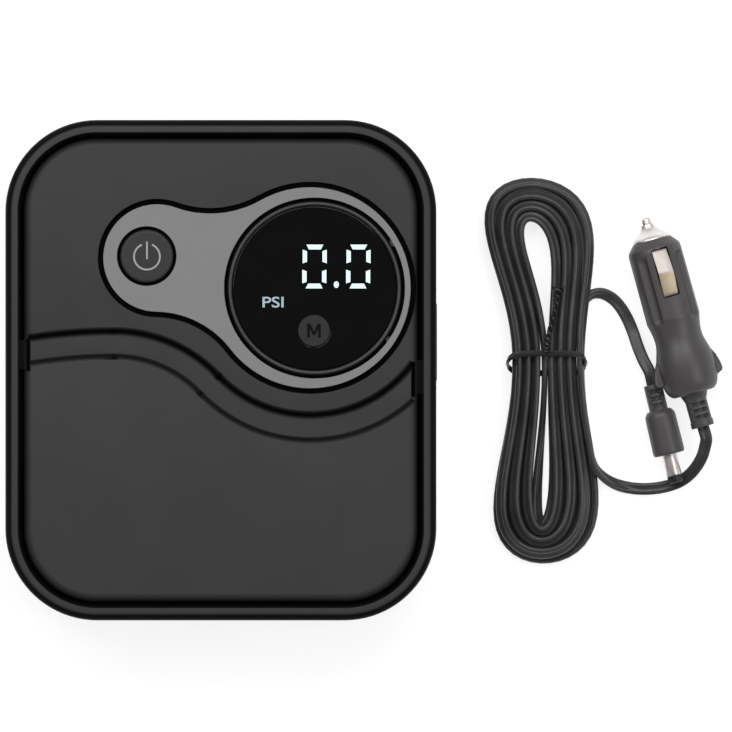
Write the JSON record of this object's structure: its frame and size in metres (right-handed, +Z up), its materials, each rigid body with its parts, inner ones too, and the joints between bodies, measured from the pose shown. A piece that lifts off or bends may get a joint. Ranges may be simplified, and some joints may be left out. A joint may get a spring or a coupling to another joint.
{
  "type": "portable tire inflator",
  "caption": "Square portable tire inflator with round digital display, power button, wave-grooved front, side ports and a tied 12 V power lead with car plug.",
  "frame": {"origin": "centre of the pump's footprint, on the surface that its rubber feet and the power lead lie on", "axes": "+X across the pump towards its ports and the power lead, +Y along the pump towards its display end, +Z up, out of the front face"},
  "size_m": [0.2589, 0.18, 0.0532],
  "materials": {
    "case_plastic": "fine satin texture",
    "bezel_plastic": "satin silver-grey",
    "ring_plastic": "gloss",
    "lens_glass": "gloss, smoked",
    "key_plastic": "satin",
    "switch_plastic": "matte",
    "board": "solder mask",
    "electronics": "matte",
    "screw_steel": "zinc plated",
    "rubber": "matte",
    "brass": "turned",
    "silicone": "satin",
    "motor_steel": "zinc plated",
    "magnet": "sintered",
    "copper_core": "wound copper wire",
    "nylon": "natural nylon",
    "cast_alloy": "die cast",
    "plug_plastic": "satin",
    "contact_metal": "nickel plated",
    "fuse_glass": "clear",
    "cord_pvc": "satin",
    "tie_plastic": "satin"
  },
  "bodies": {
    "inflator": {"rear_cover": "case_plastic", "front_cover": "case_plastic", "bezel": "bezel_plastic", "display_ring": "ring_plastic", "display_lens": "lens_glass", "button_switches": "electronics", "control_board": "board", "led_display": "electronics", "pressure_sensor": "electronics", "board_screws": "screw_steel", "housing_screws": "screw_steel", "rubber_feet": "rubber", "port_panel": "case_plastic", "dc_jack": "electronics", "dc_jack_pin": "contact_metal", "outlet_fitting": "brass", "air_tube": "silicone", "motor_can": "motor_steel", "motor_magnets": "magnet", "motor_end_cap": "switch_plastic", "gear_frame": "motor_steel", "gear_axle": "screw_steel", "pump_cylinder": "cast_alloy", "valve_plate": "brass", "cylinder_head": "cast_alloy", "head_screws": "screw_steel"},
    "power_button": {"power_button": "key_plastic", "power_plunger": "switch_plastic"},
    "mode_button": {"mode_button": "ring_plastic", "mode_plunger": "switch_plastic"},
    "crank": {"crank_gear": "nylon"},
    "rotor": {"armature": "copper_core", "motor_shaft": "screw_steel", "drive_pinion": "brass", "cooling_fan": "electronics"},
    "piston": {"piston": "cast_alloy", "piston_seal": "rubber", "wrist_pin": "screw_steel"},
    "connecting_rod": {"connecting_rod": "cast_alloy"},
    "power_lead": {"dc_plug_grip": "plug_plastic", "dc_plug_barrel": "contact_metal", "dc_plug_insulator": "electronics", "dc_strain_relief": "plug_plastic", "car_plug_upper": "plug_plastic", "car_plug_lower": "plug_plastic", "nose_cap": "contact_metal", "car_plug_screw": "screw_steel", "car_strain_relief": "plug_plastic", "tip_spring": "screw_steel", "cord_dc_stretch": "cord_pvc", "cord_hank": "cord_pvc", "cord_car_stretch": "cord_pvc", "cord_tie": "tie_plastic"},
    "tip": {"tip_contact": "contact_metal", "fuse": "fuse_glass"},
    "side_contact_upper": {"side_contact_upper": "contact_metal"},
    "side_contact_lower": {"side_contact_lower": "contact_metal"}
  },
  "joints": [
    {"name": "power_press", "type": "slide", "parent": "inflator", "child": "power_button", "axis": [0, 0, -1], "range_m": [0, 0.0006], "stiffness_N_per_m": 1500, "springref_m": -0.0006},
    {"name": "mode_press", "type": "slide", "parent": "inflator", "child": "mode_button", "axis": [0, 0, -1], "range_m": [0, 0.0005], "stiffness_N_per_m": 1500, "springref_m": -0.0005},
    {"name": "crank_spin", "type": "hinge", "parent": "inflator", "child": "crank", "pos_m": [-0.0156, -0.0134, 0.026], "axis": [0, 1, 0], "continuous": true},
    {"name": "rotor_spin", "type": "hinge", "parent": "inflator", "child": "rotor", "pos_m": [-0.038, -0.045, 0.026], "axis": [0, 1, 0], "continuous": true},
    {"name": "piston_stroke", "type": "slide", "parent": "inflator", "child": "piston", "axis": [1, 0, 0], "range_m": [0, 0.014]},
    {"name": "rod_swing", "type": "hinge", "parent": "piston", "child": "connecting_rod", "pos_m": [0.0194, -0.0034, 0.026], "axis": [0, 1, 0], "range_deg": [-9.6, 9.6]},
    {"name": "lead_lift", "type": "slide", "parent": "inflator", "child": "power_lead", "axis": [0, 0, 1], "range_m": [0, 0.12]},
    {"name": "tip_press", "type": "slide", "parent": "power_lead", "child": "tip", "axis": [0.2656, -0.9641, 0], "range_m": [0, 0.002], "stiffness_N_per_m": 2500, "springref_m": -0.001, "deforming": ["tip_spring"]},
    {"name": "upper_contact_press", "type": "slide", "parent": "power_lead", "child": "side_contact_upper", "axis": [-0.1674, -0.0461, -0.9848], "range_m": [0, 0.001], "stiffness_N_per_m": 2000, "springref_m": -0.0005},
    {"name": "lower_contact_press", "type": "slide", "parent": "power_lead", "child": "side_contact_lower", "axis": [0.1674, 0.0461, 0.9848], "range_m": [0, 0.001], "stiffness_N_per_m": 2000, "springref_m": -0.0005}
  ],
  "couplings": [
    {"joint": "crank_spin", "follows": "rotor_spin", "ratio": -0.27273}
  ]
}
